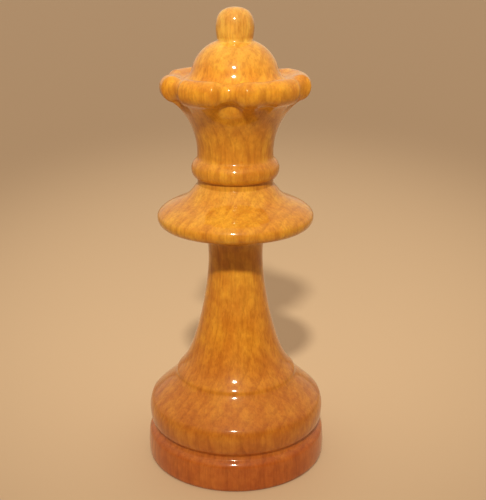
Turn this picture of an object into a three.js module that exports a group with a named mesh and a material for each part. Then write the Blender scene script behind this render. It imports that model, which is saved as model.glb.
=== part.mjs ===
import * as THREE from "three";

// Chess queen turned in one piece from light wood. Millimetres, +Z up.
// The origin is the centre of the flat underside; the front of the piece looks along -Y.

// Heights above the underside
const TOTAL_HEIGHT = 72.3;
const KNOB_FOOT_Z = 67.5;
const DOME_SIDE_Z = 63.6;
const DISH_Z = 62.1;
const CREST_Z = 62.75;
const RIM_WIDEST_Z = 61;
const RIM_LOWER_Z = 58.95;
const COVE_FOOT_Z = 50.1;
const BEAD_Z = 48.4;
const BEAD_FOOT_Z = 46.95;
const SHORT_NECK_FOOT_Z = 46.0;
const COLLAR_TOP_Z = 44.6;
const COLLAR_SHOULDER_Z = 42.0;
const COLLAR_WIDEST_Z = 40.8;
const COLLAR_LOWER_Z = 39.5;
const STEM_TOP_Z = 37.3;
const STEM_WAIST_Z = 34.5;
const STEM_FOOT_Z = 15.75;
const RIDGE_LOWER_Z = 14.4;
const SHOULDER_Z = 10.15;
const BELL_WIDEST_Z = 8.4;
const BELL_LOWER_Z = 6.15;
const GROOVE_Z = 5.6;
const PLINTH_TOP_Z = 5.05;
const PLINTH_CORNER_Z = 4.05;
const PLINTH_BULGE_Z = 2.1;

// Radii at those heights
const KNOB_FOOT_RADIUS = 2.62;
const DOME_RADIUS = 6.42;
const DISH_RADIUS = 7.7;
const CREST_RADIUS = 9.8;
const RIM_RADIUS = 11.4;
const RIM_LOWER_RADIUS = 9.95;
const COVE_RADIUS = 5.87;
const BEAD_RADIUS = 6.8;
const BEAD_FOOT_RADIUS = 5.88;
const COLLAR_TOP_RADIUS = 7;
const COLLAR_SHOULDER_RADIUS = 11.4;
const COLLAR_RADIUS = 12.2;
const COLLAR_LOWER_RADIUS = 11.15;
const STEM_TOP_RADIUS = 4.75;
const STEM_WAIST_RADIUS = 4.3;
const STEM_FOOT_RADIUS = 8.85;
const RIDGE_LOWER_RADIUS = 9.75;
const SHOULDER_RADIUS = 13.9;
const BELL_RADIUS = 14.32;
const BELL_LOWER_RADIUS = 13.85;
const GROOVE_RADIUS = 13.4;
const PLINTH_TOP_RADIUS = 13.7;
const PLINTH_CORNER_RADIUS = 14.5;
const PLINTH_RADIUS = 14.66;
const UNDERSIDE_RADIUS = 14.35;
const UNDERSIDE_EDGE = 0.22;

// Curved stretches: how each leaves its lower end and reaches its upper end, as pulls of
// [radius, height] away from that end, and the number of facets along it
const PLINTH_CORNER_CURVE = { leave: [-0.06, 0.4], reach: [0.35, -0.15], steps: 3 };
const BELL_BELLY_CURVE = { leave: [0, 0.7], reach: [0.2, -0.5], steps: 3 };
const BELL_TOP_CURVE = { leave: [-1.15, 1.3], reach: [0.5, -1.1], steps: 5 };
const RIDGE_CURVE = { leave: [0, 0.3], reach: [0.75, -0.85], steps: 3 };
const STEM_CURVE = { leave: [-2.7, 3.3], reach: [-0.08, -4.7], steps: 8 };
const COLLAR_UNDERSIDE_CURVE = { leave: [0.9, 1.7], reach: [-2, -0.3], steps: 4 };
const COLLAR_EDGE_CURVE = { leave: [0, 0.6], reach: [0.45, -0.35], steps: 3 };
const COLLAR_TOP_CURVE = { leave: [-1.2, 0.9], reach: [1.2, -1.4], steps: 5 };
const BEAD_TOP_CURVE = { leave: [0, 0.8], reach: [0.5, -0.6], steps: 3 };
const COVE_CURVE = { leave: [-0.35, 5.7], reach: [-0.4, 0], steps: 8 };
const RIM_LOWER_CURVE = { leave: [0.8, 0.25], reach: [0, -1.1], steps: 3 };
const RIM_UPPER_CURVE = { leave: [0, 1], reach: [0.9, 0], steps: 4 };
const DISH_CURVE = { leave: [-0.8, 0], reach: [0.6, 0], steps: 2 };
const DOME_FOOT_CURVE = { leave: [-0.7, 0], reach: [0.3, -0.8], steps: 3 };
const DOME_CURVE = { leave: [-0.3, 1.2], reach: [2.4, -0.78], steps: 5 };
const KNOB_CURVE = { leave: [0.95, 4.2], reach: [1.5, 0], steps: 8 };
const QUARTER_STEPS = 3;

// Scalloped crown: notches filed by eye, so neither spacing nor depth is quite even
const NOTCHES = [
  { centre: -96, halfWidth: 17, depth: 0.27 },
  { centre: -57, halfWidth: 12, depth: 0.3 },
  { centre: -4, halfWidth: 12, depth: 0.3 },
  { centre: 26, halfWidth: 9, depth: 0.08 },
  { centre: 67, halfWidth: 12, depth: 0.29 },
  { centre: 137, halfWidth: 12, depth: 0.13 },
  { centre: 168, halfWidth: 12.5, depth: 0.25 },
  { centre: 206, halfWidth: 12, depth: 0.27 },
];

// A notch draws the rim towards this circle inside it, and fades out inwards and downwards
const RIM_ANCHOR_RADIUS = 6.9;
const RIM_ANCHOR_Z = 61.2;
const RIM_BLEND = 1.9;
const NOTCH_FADE_Z = 57.3;
const NOTCH_FADE = 1.6;

// Facets around the piece, and around the notched rim
const BODY_SEGMENTS = 48;
const CROWN_SEGMENTS = 96;

const WOOD_COLOUR = 0xc98434;
const WOOD_ROUGHNESS = 0.34;

const point = (radius, height) => new THREE.Vector2(radius, height);

// Points of a cubic curve after its start, which the stretch before it already holds
function curve(from, to, { leave, reach, steps }) {
  const pullFrom = from.clone().add(point(...leave));
  const pullTo = to.clone().add(point(...reach));
  return new THREE.CubicBezierCurve(from, pullFrom, pullTo, to).getPoints(steps).slice(1);
}

// Points of a quarter ellipse after its start; the skin is upright at its start or at its end
function quarter(from, to, uprightAtStart) {
  const points = [];
  for (let i = 1; i <= QUARTER_STEPS; i += 1) {
    const turn = (i / QUARTER_STEPS) * (Math.PI / 2);
    const radial = uprightAtStart ? 1 - Math.cos(turn) : Math.sin(turn);
    const axial = uprightAtStart ? Math.sin(turn) : 1 - Math.cos(turn);
    points.push(point(
      THREE.MathUtils.lerp(from.x, to.x, radial),
      THREE.MathUtils.lerp(from.y, to.y, axial)
    ));
  }
  return points;
}

const GROOVE = point(GROOVE_RADIUS, GROOVE_Z);
const BELL_LOWER = point(BELL_LOWER_RADIUS, BELL_LOWER_Z);
const STEM_FOOT = point(STEM_FOOT_RADIUS, STEM_FOOT_Z);
const STEM_TOP = point(STEM_TOP_RADIUS, STEM_TOP_Z);
const COLLAR_TOP = point(COLLAR_TOP_RADIUS, COLLAR_TOP_Z);
const RIM_LOWER = point(RIM_LOWER_RADIUS, RIM_LOWER_Z);
const DISH = point(DISH_RADIUS, DISH_Z);

function plinthOutline() {
  const corner = point(PLINTH_CORNER_RADIUS, PLINTH_CORNER_Z);
  const top = point(PLINTH_TOP_RADIUS, PLINTH_TOP_Z);
  return [
    point(UNDERSIDE_RADIUS, 0),
    point(UNDERSIDE_RADIUS + UNDERSIDE_EDGE, UNDERSIDE_EDGE),
    point(PLINTH_RADIUS, PLINTH_BULGE_Z),
    corner,
    ...curve(corner, top, PLINTH_CORNER_CURVE),
    GROOVE,
    BELL_LOWER,
  ];
}

function bellOutline() {
  const widest = point(BELL_RADIUS, BELL_WIDEST_Z);
  const shoulder = point(SHOULDER_RADIUS, SHOULDER_Z);
  const ridge = point(RIDGE_LOWER_RADIUS, RIDGE_LOWER_Z);
  return [
    ...quarter(BELL_LOWER, widest, false),
    ...curve(widest, shoulder, BELL_BELLY_CURVE),
    ...curve(shoulder, ridge, BELL_TOP_CURVE),
    ...curve(ridge, STEM_FOOT, RIDGE_CURVE),
  ];
}

function stemOutline() {
  const waist = point(STEM_WAIST_RADIUS, STEM_WAIST_Z);
  return [
    ...curve(STEM_FOOT, waist, STEM_CURVE),
    ...quarter(waist, STEM_TOP, true),
  ];
}

function collarOutline() {
  const lower = point(COLLAR_LOWER_RADIUS, COLLAR_LOWER_Z);
  const widest = point(COLLAR_RADIUS, COLLAR_WIDEST_Z);
  const shoulder = point(COLLAR_SHOULDER_RADIUS, COLLAR_SHOULDER_Z);
  return [
    ...curve(STEM_TOP, lower, COLLAR_UNDERSIDE_CURVE),
    ...quarter(lower, widest, false),
    ...curve(widest, shoulder, COLLAR_EDGE_CURVE),
    ...curve(shoulder, COLLAR_TOP, COLLAR_TOP_CURVE),
  ];
}

function neckOutline() {
  const beadFoot = point(BEAD_FOOT_RADIUS, BEAD_FOOT_Z);
  const bead = point(BEAD_RADIUS, BEAD_Z);
  const coveFoot = point(COVE_RADIUS, COVE_FOOT_Z);
  return [
    point(BEAD_FOOT_RADIUS, SHORT_NECK_FOOT_Z),
    beadFoot,
    ...quarter(beadFoot, bead, false),
    ...curve(bead, coveFoot, BEAD_TOP_CURVE),
    ...curve(coveFoot, RIM_LOWER, COVE_CURVE),
  ];
}

function crownOutline() {
  const widest = point(RIM_RADIUS, RIM_WIDEST_Z);
  const crest = point(CREST_RADIUS, CREST_Z);
  return [
    ...curve(RIM_LOWER, widest, RIM_LOWER_CURVE),
    ...curve(widest, crest, RIM_UPPER_CURVE),
    ...curve(crest, DISH, DISH_CURVE),
  ];
}

// The last point, on the axis, is left to the cap
function domeOutline() {
  const side = point(DOME_RADIUS, DOME_SIDE_Z);
  const knobFoot = point(KNOB_FOOT_RADIUS, KNOB_FOOT_Z);
  return [
    ...curve(DISH, side, DOME_FOOT_CURVE),
    ...curve(side, knobFoot, DOME_CURVE),
    ...curve(knobFoot, point(0, TOTAL_HEIGHT), KNOB_CURVE).slice(0, -1),
  ];
}

// Share by which the rim shrinks in one direction: a notch's depth on its centre line, 0 outside
function notchDepth(angle) {
  let deepest = 0;
  for (const { centre, halfWidth, depth } of NOTCHES) {
    const offset = THREE.MathUtils.euclideanModulo(angle - centre + 180, 360) - 180;
    deepest = Math.max(deepest, depth * (1 - (offset / halfWidth) ** 2));
  }
  return deepest;
}

// The outline swung to one direction; a notch shrinks the rim towards a point inside it
function surfacePoint(outlinePoint, angle) {
  const outward = (outlinePoint.x - RIM_ANCHOR_RADIUS) / RIM_BLEND;
  const upward = (outlinePoint.y - NOTCH_FADE_Z) / NOTCH_FADE;
  const blend = THREE.MathUtils.smoothstep(outward, 0, 1) * THREE.MathUtils.smoothstep(upward, 0, 1);
  const shrink = blend * notchDepth(angle);
  const radius = outlinePoint.x - (outlinePoint.x - RIM_ANCHOR_RADIUS) * shrink;
  const height = outlinePoint.y - (outlinePoint.y - RIM_ANCHOR_Z) * shrink;
  const turn = THREE.MathUtils.degToRad(angle);
  return [radius * Math.sin(turn), -radius * Math.cos(turn), height];
}

// One closed skin: a ring of points for each outline point, closed at both ends on the axis
function turnedSolid(outline, segmentsAt) {
  const positions = [];
  const triangles = [];
  const rings = outline.map((outlinePoint) => {
    const count = segmentsAt(outlinePoint);
    const first = positions.length / 3;
    for (let i = 0; i < count; i += 1) {
      positions.push(...surfacePoint(outlinePoint, (360 * i) / count));
    }
    return { first, count };
  });
  const vertex = (ring, i) => ring.first + (i % ring.count);
  for (let k = 0; k + 1 < rings.length; k += 1) {
    stitch(rings[k], rings[k + 1], vertex, triangles);
  }
  const closeEnd = (ring, height, facingUp) => {
    const centre = positions.length / 3;
    positions.push(0, 0, height);
    for (let i = 0; i < ring.count; i += 1) {
      const pair = [vertex(ring, i), vertex(ring, i + 1)];
      triangles.push(centre, ...(facingUp ? pair : pair.reverse()));
    }
  };
  closeEnd(rings[0], 0, false);
  closeEnd(rings[rings.length - 1], TOTAL_HEIGHT, true);
  const geometry = new THREE.BufferGeometry();
  geometry.setAttribute("position", new THREE.Float32BufferAttribute(positions, 3));
  geometry.setIndex(triangles);
  geometry.computeVertexNormals();
  return geometry;
}

// Fills the strip between two rings, which may hold different numbers of points
function stitch(lower, upper, vertex, triangles) {
  let i = 0;
  let j = 0;
  while (i < lower.count || j < upper.count) {
    const lowerNext = (i + 1) / lower.count;
    const upperNext = (j + 1) / upper.count;
    if (i < lower.count && lowerNext <= upperNext) {
      triangles.push(vertex(lower, i), vertex(lower, i + 1), vertex(upper, j));
      i += 1;
    } else {
      triangles.push(vertex(lower, i), vertex(upper, j + 1), vertex(upper, j));
      j += 1;
    }
  }
}

function queen() {
  const outline = [
    ...plinthOutline(),
    ...bellOutline(),
    ...stemOutline(),
    ...collarOutline(),
    ...neckOutline(),
    ...crownOutline(),
    ...domeOutline(),
  ];
  const notched = ({ x, y }) => x > RIM_ANCHOR_RADIUS && y > NOTCH_FADE_Z;
  const segmentsAt = (outlinePoint) => (notched(outlinePoint) ? CROWN_SEGMENTS : BODY_SEGMENTS);
  const wood = new THREE.MeshStandardMaterial({
    color: WOOD_COLOUR,
    roughness: WOOD_ROUGHNESS,
    metalness: 0,
  });
  const mesh = new THREE.Mesh(turnedSolid(outline, segmentsAt), wood);
  mesh.name = "queen";
  return mesh;
}

const part = new THREE.Group();
part.name = "chess_queen";
part.add(queen());

export default part;
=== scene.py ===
import math

import bpy
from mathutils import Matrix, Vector


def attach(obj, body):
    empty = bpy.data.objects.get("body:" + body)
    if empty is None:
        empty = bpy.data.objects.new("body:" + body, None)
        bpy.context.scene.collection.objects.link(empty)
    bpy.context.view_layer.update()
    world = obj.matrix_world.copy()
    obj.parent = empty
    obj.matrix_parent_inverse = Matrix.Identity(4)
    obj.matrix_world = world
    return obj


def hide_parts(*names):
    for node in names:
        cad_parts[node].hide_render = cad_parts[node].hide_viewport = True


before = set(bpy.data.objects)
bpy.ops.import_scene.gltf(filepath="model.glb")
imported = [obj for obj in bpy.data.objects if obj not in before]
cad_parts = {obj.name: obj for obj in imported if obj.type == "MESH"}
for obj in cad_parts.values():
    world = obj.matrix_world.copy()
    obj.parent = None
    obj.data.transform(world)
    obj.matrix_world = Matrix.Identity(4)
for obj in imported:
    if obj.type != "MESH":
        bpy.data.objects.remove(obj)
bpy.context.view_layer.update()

MM = 0.001

# Heights above the underside, in millimetres
TOTAL_HEIGHT = 72.3
KNOB_FOOT_Z = 67.5
DOME_SIDE_Z = 63.6
DISH_Z = 62.1
CREST_Z = 62.75
RIM_WIDEST_Z = 61
RIM_LOWER_Z = 58.95
COVE_FOOT_Z = 50.1
BEAD_Z = 48.4
BEAD_FOOT_Z = 46.95
SHORT_NECK_FOOT_Z = 46
COLLAR_TOP_Z = 44.6
COLLAR_SHOULDER_Z = 42
COLLAR_WIDEST_Z = 40.8
COLLAR_LOWER_Z = 39.5
STEM_TOP_Z = 37.3
STEM_WAIST_Z = 34.5
STEM_FOOT_Z = 15.75
RIDGE_LOWER_Z = 14.4
SHOULDER_Z = 10.15
BELL_WIDEST_Z = 8.4
BELL_LOWER_Z = 6.15
GROOVE_Z = 5.6
PLINTH_TOP_Z = 5.05
PLINTH_CORNER_Z = 4.05
PLINTH_BULGE_Z = 2.1

# Radii at those heights
KNOB_FOOT_RADIUS = 2.62
DOME_RADIUS = 6.42
DISH_RADIUS = 7.7
CREST_RADIUS = 9.8
RIM_RADIUS = 11.4
RIM_LOWER_RADIUS = 9.95
COVE_RADIUS = 5.87
BEAD_RADIUS = 6.8
BEAD_FOOT_RADIUS = 5.88
COLLAR_TOP_RADIUS = 7
COLLAR_SHOULDER_RADIUS = 11.4
COLLAR_RADIUS = 12.2
COLLAR_LOWER_RADIUS = 11.15
STEM_TOP_RADIUS = 4.75
STEM_WAIST_RADIUS = 4.3
STEM_FOOT_RADIUS = 8.85
RIDGE_LOWER_RADIUS = 9.75
SHOULDER_RADIUS = 13.9
BELL_RADIUS = 14.32
BELL_LOWER_RADIUS = 13.85
GROOVE_RADIUS = 13.4
PLINTH_TOP_RADIUS = 13.7
PLINTH_CORNER_RADIUS = 14.5
PLINTH_RADIUS = 14.66
UNDERSIDE_RADIUS = 14.35
UNDERSIDE_EDGE = 0.22

# Notches filed into the crown: direction in degrees from the front, half width, and depth
NOTCHES = [
    (-96, 17, 0.27),
    (-57, 12, 0.3),
    (-4, 12, 0.3),
    (26, 9, 0.08),
    (67, 12, 0.29),
    (137, 12, 0.13),
    (168, 12.5, 0.25),
    (206, 12, 0.27),
]

# Directions around the turned body, and spacing of the points along its outline
TURNED_STEPS = 308
OUTLINE_SPACING = 0.42
FINE_SPACING = 0.2


class Value:
    """A number that changes over a surface, with Python's arithmetic on it."""

    def __init__(self, nodes, socket):
        self.nodes = nodes
        self.socket = socket

    def math(self, operation, *others):
        return self.nodes.math(operation, self, *others)

    def __add__(self, other):
        return self.math("ADD", other)

    def __radd__(self, other):
        return self.math("ADD", other)

    def __sub__(self, other):
        return self.math("SUBTRACT", other)

    def __rsub__(self, other):
        return self.nodes.math("SUBTRACT", other, self)

    def __mul__(self, other):
        return self.math("MULTIPLY", other)

    def __rmul__(self, other):
        return self.math("MULTIPLY", other)

    def __truediv__(self, other):
        return self.math("DIVIDE", other)

    def __rtruediv__(self, other):
        return self.nodes.math("DIVIDE", other, self)

    def __pow__(self, other):
        return self.math("POWER", other)


class Nodes:
    """Adds nodes to one tree and links them."""

    def __init__(self, tree):
        self.tree = tree

    def add(self, kind, settings=None, inputs=None, output=0):
        """One node: its settings first, then the values or links of its sockets."""
        node = self.tree.nodes.new(kind)
        for name, value in (settings or {}).items():
            if name == "stops":
                set_stops(node.color_ramp, value)
            else:
                setattr(node, name, value)
        for key, value in (inputs or {}).items():
            if isinstance(value, Value):
                self.tree.links.new(value.socket, node.inputs[key])
            else:
                node.inputs[key].default_value = value
        if not node.outputs:
            return None
        return Value(self, node.outputs[output])

    def math(self, operation, *values):
        return self.add("ShaderNodeMath", {"operation": operation}, dict(enumerate(values)))

    def vector(self, operation, *values):
        return self.add("ShaderNodeVectorMath", {"operation": operation}, dict(enumerate(values)))

    def length(self, vector):
        return self.add("ShaderNodeVectorMath", {"operation": "LENGTH"}, {0: vector}, "Value")

    def axes(self, vector):
        split = self.add("ShaderNodeSeparateXYZ", inputs={0: vector})
        return [Value(self, socket) for socket in split.socket.node.outputs]

    def join(self, x, y, z):
        return self.add("ShaderNodeCombineXYZ", inputs={0: x, 1: y, 2: z})

    def step(self, value, low, high):
        """0 below low, 1 above high, smooth between; low may be the larger."""
        flip = low > high
        ends = (1.0, 0.0) if flip else (0.0, 1.0)
        inputs = {0: value, 1: min(low, high), 2: max(low, high), 3: ends[0], 4: ends[1]}
        return self.add("ShaderNodeMapRange", {"interpolation_type": "SMOOTHSTEP"}, inputs)

    def noise(self, place, size, detail=2.0, roughness=0.5, seed=0.0):
        """Cloudy pattern from 0 to 1 with patches of the given size along each axis."""
        scaled = self.vector("DIVIDE", place, size)
        inputs = {"Vector": scaled, "W": seed, "Scale": 1.0, "Detail": detail, "Roughness": roughness}
        return self.add("ShaderNodeTexNoise", {"noise_dimensions": "4D"}, inputs)

    def blend(self, factor, first, second, mode="MIX"):
        settings = {"data_type": "RGBA", "blend_type": mode}
        return self.add("ShaderNodeMix", settings, {0: factor, 6: first, 7: second}, 2)


def set_stops(ramp, stops):
    for _ in range(len(stops) - len(ramp.elements)):
        ramp.elements.new(1.0)
    for element, (position, colour) in zip(ramp.elements, stops):
        element.position = position
        element.color = colour


def bend(start, pull_start, pull_end, end, spacing=OUTLINE_SPACING):
    """Points of a cubic curve after its start; the pulls are offsets from its two ends."""
    handles = [
        start,
        (start[0] + pull_start[0], start[1] + pull_start[1]),
        (end[0] + pull_end[0], end[1] + pull_end[1]),
        end,
    ]
    span = sum(math.dist(a, b) for a, b in zip(handles, handles[1:]))
    steps = max(3, round(span / spacing))
    points = []
    for i in range(1, steps + 1):
        t = i / steps
        shares = [(1 - t) ** 3, 3 * t * (1 - t) ** 2, 3 * t * t * (1 - t), t ** 3]
        points.append(tuple(sum(s * h[k] for s, h in zip(shares, handles)) for k in (0, 1)))
    return points


def straight(start, end, spacing=OUTLINE_SPACING):
    return bend(start, (0, 0), (0, 0), end, spacing)


def quarter(start, end, upright_at_start):
    """A rounded corner between two points, upright at one of them and level at the other."""
    pull = 0.5523
    across = end[0] - start[0]
    rise = end[1] - start[1]
    if upright_at_start:
        return bend(start, (0, pull * rise), (-pull * across, 0), end)
    return bend(start, (pull * across, 0), (0, -pull * rise), end)


def turned_outline():
    """Radius and height of every point along the outline, from the underside to the top."""
    groove = (GROOVE_RADIUS, GROOVE_Z)
    bell_lower = (BELL_LOWER_RADIUS, BELL_LOWER_Z)
    bell = (BELL_RADIUS, BELL_WIDEST_Z)
    shoulder = (SHOULDER_RADIUS, SHOULDER_Z)
    ridge = (RIDGE_LOWER_RADIUS, RIDGE_LOWER_Z)
    stem_foot = (STEM_FOOT_RADIUS, STEM_FOOT_Z)
    waist = (STEM_WAIST_RADIUS, STEM_WAIST_Z)
    stem_top = (STEM_TOP_RADIUS, STEM_TOP_Z)
    collar_lower = (COLLAR_LOWER_RADIUS, COLLAR_LOWER_Z)
    collar = (COLLAR_RADIUS, COLLAR_WIDEST_Z)
    collar_shoulder = (COLLAR_SHOULDER_RADIUS, COLLAR_SHOULDER_Z)
    collar_top = (COLLAR_TOP_RADIUS, COLLAR_TOP_Z)
    neck_foot = (BEAD_FOOT_RADIUS, SHORT_NECK_FOOT_Z)
    bead_foot = (BEAD_FOOT_RADIUS, BEAD_FOOT_Z)
    bead = (BEAD_RADIUS, BEAD_Z)
    cove_foot = (COVE_RADIUS, COVE_FOOT_Z)
    rim_lower = (RIM_LOWER_RADIUS, RIM_LOWER_Z)
    rim = (RIM_RADIUS, RIM_WIDEST_Z)
    crest = (CREST_RADIUS, CREST_Z)
    dish = (DISH_RADIUS, DISH_Z)
    dome_side = (DOME_RADIUS, DOME_SIDE_Z)
    knob_foot = (KNOB_FOOT_RADIUS, KNOB_FOOT_Z)
    edge = (UNDERSIDE_RADIUS, 0)
    edge_top = (UNDERSIDE_RADIUS + UNDERSIDE_EDGE, UNDERSIDE_EDGE)
    plinth = (PLINTH_RADIUS, PLINTH_BULGE_Z)
    corner = (PLINTH_CORNER_RADIUS, PLINTH_CORNER_Z)
    plinth_top = (PLINTH_TOP_RADIUS, PLINTH_TOP_Z)
    return [
        (0, 0),
        *straight((0, 0), edge, 1.6),
        *straight(edge, edge_top, FINE_SPACING),
        *bend(edge_top, (0.1, 0.5), (0, -0.6), plinth),
        *bend(plinth, (0, 0.6), (0.06, -0.5), corner),
        *bend(corner, (-0.06, 0.4), (0.35, -0.15), plinth_top, FINE_SPACING),
        *straight(plinth_top, groove, FINE_SPACING),
        *straight(groove, bell_lower, FINE_SPACING),
        *quarter(bell_lower, bell, False),
        *bend(bell, (0, 0.7), (0.2, -0.5), shoulder),
        *bend(shoulder, (-1.15, 1.3), (0.5, -1.1), ridge),
        *bend(ridge, (0, 0.3), (0.75, -0.85), stem_foot, FINE_SPACING),
        *bend(stem_foot, (-2.7, 3.3), (-0.08, -4.7), waist),
        *quarter(waist, stem_top, True),
        *bend(stem_top, (0.9, 1.7), (-2, -0.3), collar_lower),
        *quarter(collar_lower, collar, False),
        *bend(collar, (0, 0.6), (0.45, -0.35), collar_shoulder, 0.3),
        *bend(collar_shoulder, (-1.2, 0.9), (1.2, -1.4), collar_top, 0.3),
        *straight(collar_top, neck_foot, FINE_SPACING),
        *straight(neck_foot, bead_foot, FINE_SPACING),
        *quarter(bead_foot, bead, False),
        *bend(bead, (0, 0.8), (0.5, -0.6), cove_foot, 0.3),
        *bend(cove_foot, (-0.35, 5.7), (-0.4, 0), rim_lower),
        *bend(rim_lower, (0.8, 0.25), (0, -1.1), rim, 0.3),
        *bend(rim, (0, 1), (0.9, 0), crest, 0.3),
        *bend(crest, (-0.8, 0), (0.6, 0), dish, 0.3),
        *bend(dish, (-0.7, 0), (0.3, -0.8), dome_side, 0.3),
        *bend(dome_side, (-0.3, 1.2), (2.4, -0.78), knob_foot, 0.36),
        *bend(knob_foot, (0.95, 4.2), (1.5, 0), (0, TOTAL_HEIGHT), 0.36),
    ]


def outline_curvature(points):
    """How sharply the outline turns near each point: above 0 on edges, below 0 in recesses."""
    reach = 0.35
    turns = [0.0] * len(points)
    for i in range(1, len(points) - 1):
        before = math.atan2(points[i][1] - points[i - 1][1], points[i][0] - points[i - 1][0])
        after = math.atan2(points[i + 1][1] - points[i][1], points[i + 1][0] - points[i][0])
        turns[i] = math.remainder(after - before, 2 * math.pi)
    smooth = []
    for here in points:
        nearby = [
            turn * math.exp(-((math.dist(here, there) / reach) ** 2))
            for there, turn in zip(points, turns)
        ]
        smooth.append(sum(nearby) / (reach * math.sqrt(math.pi)))
    return smooth


def outline_object(points):
    mesh = bpy.data.meshes.new("outline")
    places = [(radius * MM, 0, height * MM) for radius, height in points]
    links = [(i, i + 1) for i in range(len(points) - 1)]
    mesh.from_pydata(places, links, [])
    attribute = mesh.attributes.new("bend", "FLOAT", "POINT")
    attribute.data.foreach_set("value", outline_curvature(points))
    outline = bpy.data.objects.new("outline", mesh)
    bpy.context.scene.collection.objects.link(outline)
    return outline


class Recipe(Nodes):
    """A geometry tree with named inputs, run once on an object to give a plain mesh."""

    def __init__(self, name):
        super().__init__(bpy.data.node_groups.new(name, "GeometryNodeTree"))
        self.settings = {}
        self.entry = self.tree.nodes.new("NodeGroupInput")
        self.input("Geometry", "NodeSocketGeometry")

    def input(self, name, kind="NodeSocketFloat", value=None):
        item = self.tree.interface.new_socket(name, in_out="INPUT", socket_type=kind)
        if value is not None:
            self.settings[item.identifier] = value
        return Value(self, self.entry.outputs[name])

    def finish(self, mesh, material):
        self.tree.interface.new_socket("Geometry", in_out="OUTPUT", socket_type="NodeSocketGeometry")
        plain = self.add("GeometryNodeRealizeInstances", inputs={0: mesh})
        finished = self.add(
            "GeometryNodeSetMaterial", inputs={"Geometry": plain, "Material": material}
        )
        self.add("NodeGroupOutput", inputs={"Geometry": finished})

    def make(self, source, name):
        modifier = source.modifiers.new("recipe", "NODES")
        modifier.node_group = self.tree
        for identifier, value in self.settings.items():
            modifier[identifier] = value
        graph = bpy.context.evaluated_depsgraph_get()
        mesh = bpy.data.meshes.new_from_object(source.evaluated_get(graph), depsgraph=graph)
        mesh.name = name
        source.modifiers.remove(modifier)
        bpy.data.objects.remove(source)
        piece = bpy.data.objects.new(name, mesh)
        bpy.context.scene.collection.objects.link(piece)
        return piece


def notch_depth(recipe, direction):
    """Share by which the rim shrinks in one direction: the deepest notch there, 0 outside them."""
    deepest = 0.0
    for number, (centre, half_width, depth) in enumerate(NOTCHES, start=1):
        middle = recipe.input(f"Notch {number} Direction", value=float(centre))
        reach = recipe.input(f"Notch {number} Half Width", value=float(half_width))
        depth_here = recipe.input(f"Notch {number} Depth", value=depth)
        offset = (direction - middle).math("WRAP", 180.0, -180.0) / reach
        deepest = (depth_here * (1 - offset * offset)).math("MAXIMUM", deepest)
    return deepest


def notched_rim(recipe, radius, height, direction):
    """Draws the rim towards a circle inside it wherever a notch was filed."""
    anchor_radius = recipe.input("Rim Anchor Radius", value=6.9 * MM)
    anchor_height = recipe.input("Rim Anchor Height", value=61.2 * MM)
    blend = recipe.step(radius, 6.9 * MM, 8.8 * MM) * recipe.step(height, 57.3 * MM, 58.9 * MM)
    shrink = blend * notch_depth(recipe, direction)
    return (
        radius - (radius - anchor_radius) * shrink,
        height - (height - anchor_height) * shrink,
    )


def turned_body(material):
    points = turned_outline()
    rows = len(points)
    recipe = Recipe("Turned Queen")
    outline = Value(recipe, recipe.entry.outputs["Geometry"])
    steps = recipe.input("Steps Around", "NodeSocketInt", TURNED_STEPS)
    row_count = recipe.input("Outline Points", "NodeSocketInt", rows)
    skin = recipe.add(
        "GeometryNodeMeshGrid", inputs={"Vertices X": steps + 1, "Vertices Y": row_count}
    )
    index = recipe.add("GeometryNodeInputIndex")
    row = index.math("MODULO", row_count)
    column = (index / row_count).math("FLOOR")
    spot = recipe.add("GeometryNodeInputPosition")
    sampled = recipe.add(
        "GeometryNodeSampleIndex",
        {"data_type": "FLOAT_VECTOR"},
        {"Geometry": outline, "Value": spot, "Index": row},
    )
    bend_there = recipe.add(
        "GeometryNodeInputNamedAttribute", {"data_type": "FLOAT"}, {"Name": "bend"}
    )
    bend_here = recipe.add(
        "GeometryNodeSampleIndex",
        {"data_type": "FLOAT"},
        {"Geometry": outline, "Value": bend_there, "Index": row},
    )
    radius, _, height = recipe.axes(sampled)
    direction = column * 360.0 / steps - 180.0
    radius, height = notched_rim(recipe, radius, height, direction)
    turn = direction * (math.pi / 180)
    place = recipe.join(radius * turn.math("SINE"), radius * turn.math("COSINE") * -1.0, height)
    marked = recipe.add(
        "GeometryNodeStoreNamedAttribute",
        {"data_type": "FLOAT", "domain": "POINT"},
        {"Geometry": skin, "Name": "bend", "Value": bend_here},
    )
    turned = recipe.add("GeometryNodeSetPosition", inputs={"Geometry": marked, "Position": place})
    closed = recipe.add(
        "GeometryNodeMergeByDistance", inputs={"Geometry": turned, "Distance": 0.002 * MM}
    )
    smooth = recipe.add("GeometryNodeSetShadeSmooth", inputs={"Geometry": closed})
    recipe.finish(smooth, material)
    return recipe.make(outline_object(points), "turned_queen")


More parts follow.
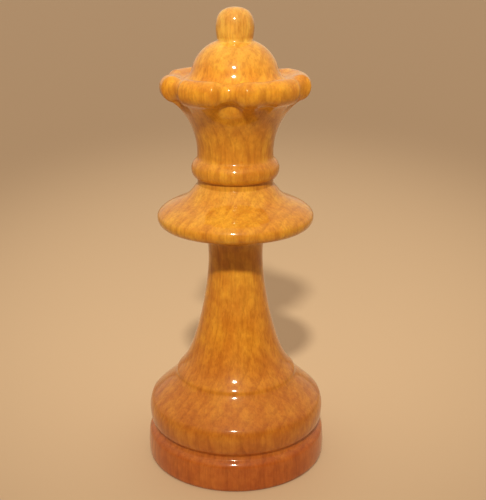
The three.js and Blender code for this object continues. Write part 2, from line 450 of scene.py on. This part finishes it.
def varnished_wood():
    material = bpy.data.materials.new("varnished_wood")
    material.use_nodes = True
    material.node_tree.nodes.clear()
    nodes = Nodes(material.node_tree)
    coordinates = nodes.add("ShaderNodeTexCoord", output="Object")
    place = nodes.vector("SCALE", coordinates)
    place.socket.node.inputs["Scale"].default_value = 1 / MM
    x, y, z = nodes.axes(place)

    fibres = nodes.noise(place, (0.3, 0.3, 5.0), 3.0, 0.6, 1.3)
    blotches = nodes.noise(place, (3.2, 3.2, 4.0), 3.0, 0.55, 4.1)
    mottle = nodes.noise(place, (0.9, 0.9, 1.3), 3.0, 0.6, 7.7)
    sway = nodes.noise(place, (9.0, 9.0, 22.0), 2.0, 0.5, 2.2)
    ring_reach = nodes.length(nodes.join(x + 21.0 + z * 0.06, y - 9.0, 0.0))
    ring = ((ring_reach + sway * 4.0) / 1.7).math("FRACT")
    ring_line = nodes.step(ring, 0.45, 0.95) * nodes.step(ring, 1.0, 0.93)

    # Colour by height: partly the wood's own redder base tone, partly painted shade and painted
    # light. It is darker towards the bottom and in a band around the bead below the crown, and
    # brightest near the knob, standing in for the lamp's falloff.
    height_tone_and_painted_shade = nodes.add(
        "ShaderNodeValToRGB",
        {
            "stops": [
                (0.0, (0.44, 0.11, 0.014, 1)),
                (0.06, (0.46, 0.12, 0.014, 1)),
                (0.12, (0.50, 0.17, 0.016, 1)),
                (0.30, (0.62, 0.24, 0.016, 1)),
                (0.55, (0.70, 0.33, 0.03, 1)),
                (0.70, (0.66, 0.29, 0.025, 1)),
                (0.86, (0.74, 0.33, 0.025, 1)),
                (0.93, (0.82, 0.44, 0.06, 1)),
                (1.0, (0.74, 0.40, 0.08, 1)),
            ]
        },
        {0: z / TOTAL_HEIGHT},
    )
    paler = nodes.blend(1.0, height_tone_and_painted_shade, (1.15, 1.35, 1.5, 1), "MULTIPLY")
    pale = nodes.blend(nodes.step(blotches, 0.38, 0.66), height_tone_and_painted_shade, paler)
    shade = nodes.blend(
        (nodes.step(mottle, 0.62, 0.38) * 0.35), pale, (0.62, 0.42, 0.3, 1), "MULTIPLY"
    )
    lined = nodes.blend(ring_line * 0.25, shade, (0.6, 0.42, 0.3, 1), "MULTIPLY")
    grained = nodes.blend(
        nodes.step(fibres, 0.56, 0.36) * 0.3, lined, (0.55, 0.38, 0.25, 1), "MULTIPLY"
    )

    lumps = nodes.noise(place, (1.4, 1.4, 1.4), 2.0, 0.5, 11.0)
    relief = lumps * 0.7 + fibres * 0.2 + mottle * 0.15
    bump = nodes.add(
        "ShaderNodeBump",
        inputs={"Strength": 0.35, "Distance": 0.05 * MM, "Height": relief},
    )
    shader = nodes.add(
        "ShaderNodeBsdfPrincipled",
        inputs={
            "Base Color": grained,
            "Roughness": 0.42 + mottle * 0.12,
            "Normal": bump,
            "Specular IOR Level": 0.15,
            "Subsurface Weight": 0.15,
            "Subsurface Radius": (1.0, 0.45, 0.12),
            "Subsurface Scale": 1.2 * MM,
            "Coat Weight": 1.0,
            "Coat Roughness": 0.09,
            "Coat IOR": 1.45,
        },
    )
    nodes.add("ShaderNodeOutputMaterial", inputs={"Surface": shader})
    return material


def pale_table():
    material = bpy.data.materials.new("pale_table")
    material.use_nodes = True
    shader = material.node_tree.nodes["Principled BSDF"]
    shader.inputs["Base Color"].default_value = (0.62, 0.5, 0.36, 1)
    shader.inputs["Roughness"].default_value = 0.75
    return material


def floor():
    half = 3.0
    corners = [(-half, -half, 0), (half, -half, 0), (half, half, 0), (-half, half, 0)]
    mesh = bpy.data.meshes.new("floor")
    mesh.from_pydata(corners, [], [(0, 1, 2, 3)])
    mesh.materials.append(pale_table())
    plane = bpy.data.objects.new("floor", mesh)
    bpy.context.scene.collection.objects.link(plane)


def camera():
    data = bpy.data.cameras.new("camera")
    data.sensor_fit = "VERTICAL"
    data.sensor_height = 24.0
    data.lens = 24.0 * 900 / 500
    data.clip_start = 5 * MM
    data.clip_end = 20.0
    view = bpy.data.objects.new("camera", data)
    view.location = (1.17 * MM, -135.4 * MM, 80.5 * MM)
    view.rotation_euler = (math.radians(71.4), math.radians(0.0), 0.0)
    bpy.context.scene.collection.objects.link(view)
    bpy.context.scene.camera = view


def place_lamp(data, direction, elevation, distance, aim):
    """Puts a lamp in a direction from the front of the piece and points it at a height."""
    light = bpy.data.objects.new(data.name, data)
    turn = math.radians(direction)
    tilt = math.radians(elevation)
    away = Vector(
        (math.sin(turn) * math.cos(tilt), -math.cos(turn) * math.cos(tilt), math.sin(tilt))
    )
    light.location = Vector((0, 0, aim * MM)) + away * distance
    light.rotation_euler = away.to_track_quat("Z", "Y").to_euler()
    bpy.context.scene.collection.objects.link(light)


def key_lamp():
    data = bpy.data.lights.new("key", "SPOT")
    data.energy = 10.0
    data.color = (1.0, 0.84, 0.62)
    data.shadow_soft_size = 0.016
    data.spot_size = math.radians(22)
    data.spot_blend = 1.0
    place_lamp(data, -3, 39.5, 0.5, 66)


def room():
    """Soft light from all sides, brightest from above and behind the piece."""
    world = bpy.data.worlds.new("room")
    world.use_nodes = True
    world.node_tree.nodes.clear()
    nodes = Nodes(world.node_tree)
    direction = nodes.add("ShaderNodeTexCoord", output="Generated")
    _, y, z = nodes.axes(direction)
    glow = nodes.blend(
        nodes.step(y * 0.7 + z * 0.8, -0.7, 1.0), (0.10, 0.06, 0.03, 1), (0.80, 0.60, 0.42, 1)
    )
    background = nodes.add("ShaderNodeBackground", inputs={"Color": glow, "Strength": 1.0})
    nodes.add("ShaderNodeOutputWorld", inputs={"Surface": background})
    bpy.context.scene.world = world


camera()
room()
floor()
key_lamp()

body = turned_body(varnished_wood())
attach(body, "root")
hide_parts("queen")

bpy.context.scene.view_settings.view_transform = "Standard"
